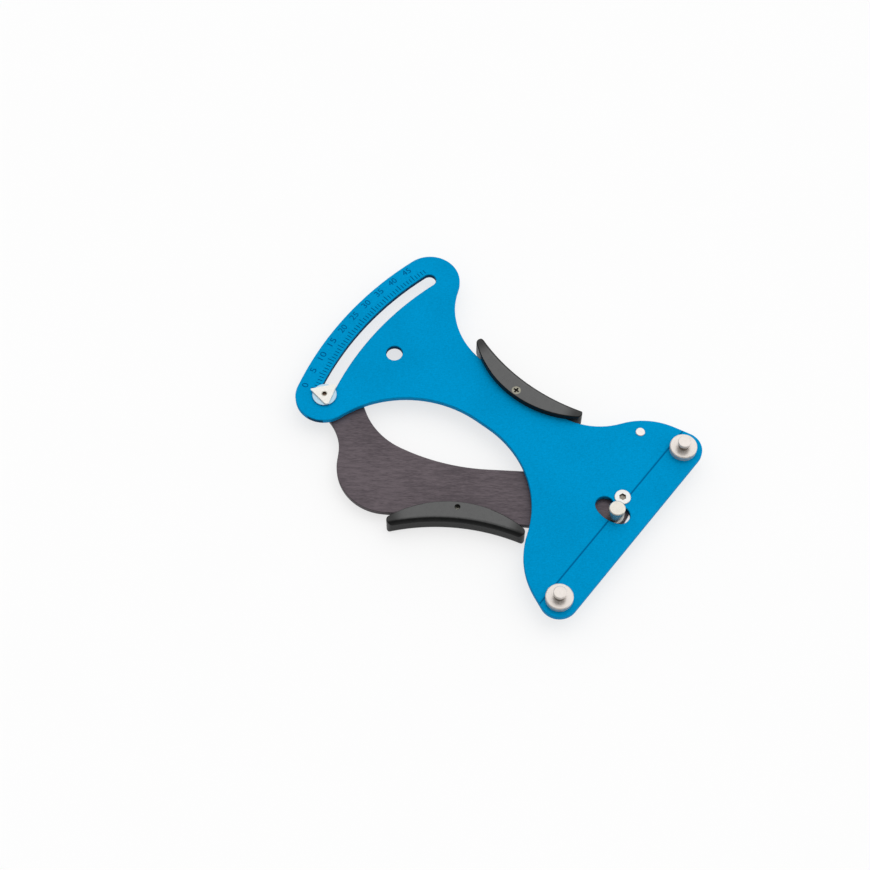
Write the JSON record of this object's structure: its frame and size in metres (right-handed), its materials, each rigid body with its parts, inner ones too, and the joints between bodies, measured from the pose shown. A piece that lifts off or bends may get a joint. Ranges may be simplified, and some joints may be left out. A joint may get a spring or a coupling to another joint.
{
  "type": "spoke tension meter",
  "caption": "Squeeze-grip meter that bends a wheel spoke between fixed posts and a spring-loaded moving post, and reads the bend on an arc scale.",
  "frame": {"origin": "under the middle of the meter's outline, on its lowest face, with the meter lying on its back", "axes": "+Z out of the front face with the scale, +Y from the foot with the posts to the scale head, +X along the spoke from the left post to the right post"},
  "size_m": [0.141, 0.1946, 0.0182],
  "materials": {
    "anodised_plate": "blue anodised aluminium, fine matt grain",
    "anodised_lever": "dark purple-grey anodised aluminium, brushed",
    "post_steel": "bright nickel-plated turned steel",
    "zinc_hardware": "zinc-plated steel",
    "bolt_steel": "bright plated steel",
    "screw_steel": "zinc-plated steel, dark recess",
    "grip_plastic": "black moulded plastic, satin",
    "spring_wire": "bright spring wire",
    "bronze_bushing": "plain bronze bushing",
    "nylon_washer": "natural nylon",
    "disc_steel": "turned steel washer",
    "pointer_white": "off-white pointer"
  },
  "bodies": {
    "plate": {"front_plate": "anodised_plate", "fixed_post_left": "post_steel", "fixed_post_right": "post_steel", "post_washers": "zinc_hardware", "post_nuts": "zinc_hardware", "pivot_bolt": "bolt_steel", "pivot_spacer": "nylon_washer", "pivot_washer": "zinc_hardware", "pivot_nut": "zinc_hardware", "plate_grip": "grip_plastic", "plate_grip_screw": "screw_steel", "spring_anchor": "post_steel", "return_spring": "spring_wire"},
    "lever": {"lever_plate": "anodised_lever", "lever_bushing": "bronze_bushing", "moving_post": "post_steel", "moving_post_screw": "screw_steel", "lever_grip": "grip_plastic", "lever_grip_screw": "screw_steel", "pointer_bushing": "nylon_washer", "pointer_disc": "disc_steel", "pointer": "pointer_white", "pointer_screw": "screw_steel", "pointer_nut": "zinc_hardware", "spring_stud": "post_steel"}
  },
  "joints": [
    {"name": "lever_pivot", "type": "hinge", "parent": "plate", "child": "lever", "pos_m": [0.0133, -0.0795, 0.0102], "axis": [0, 0, -1], "range_deg": [0, 31.9], "stiffness_Nm_per_rad": 0.2, "springref_deg": -45.84, "deforming": ["return_spring"]}
  ]
}
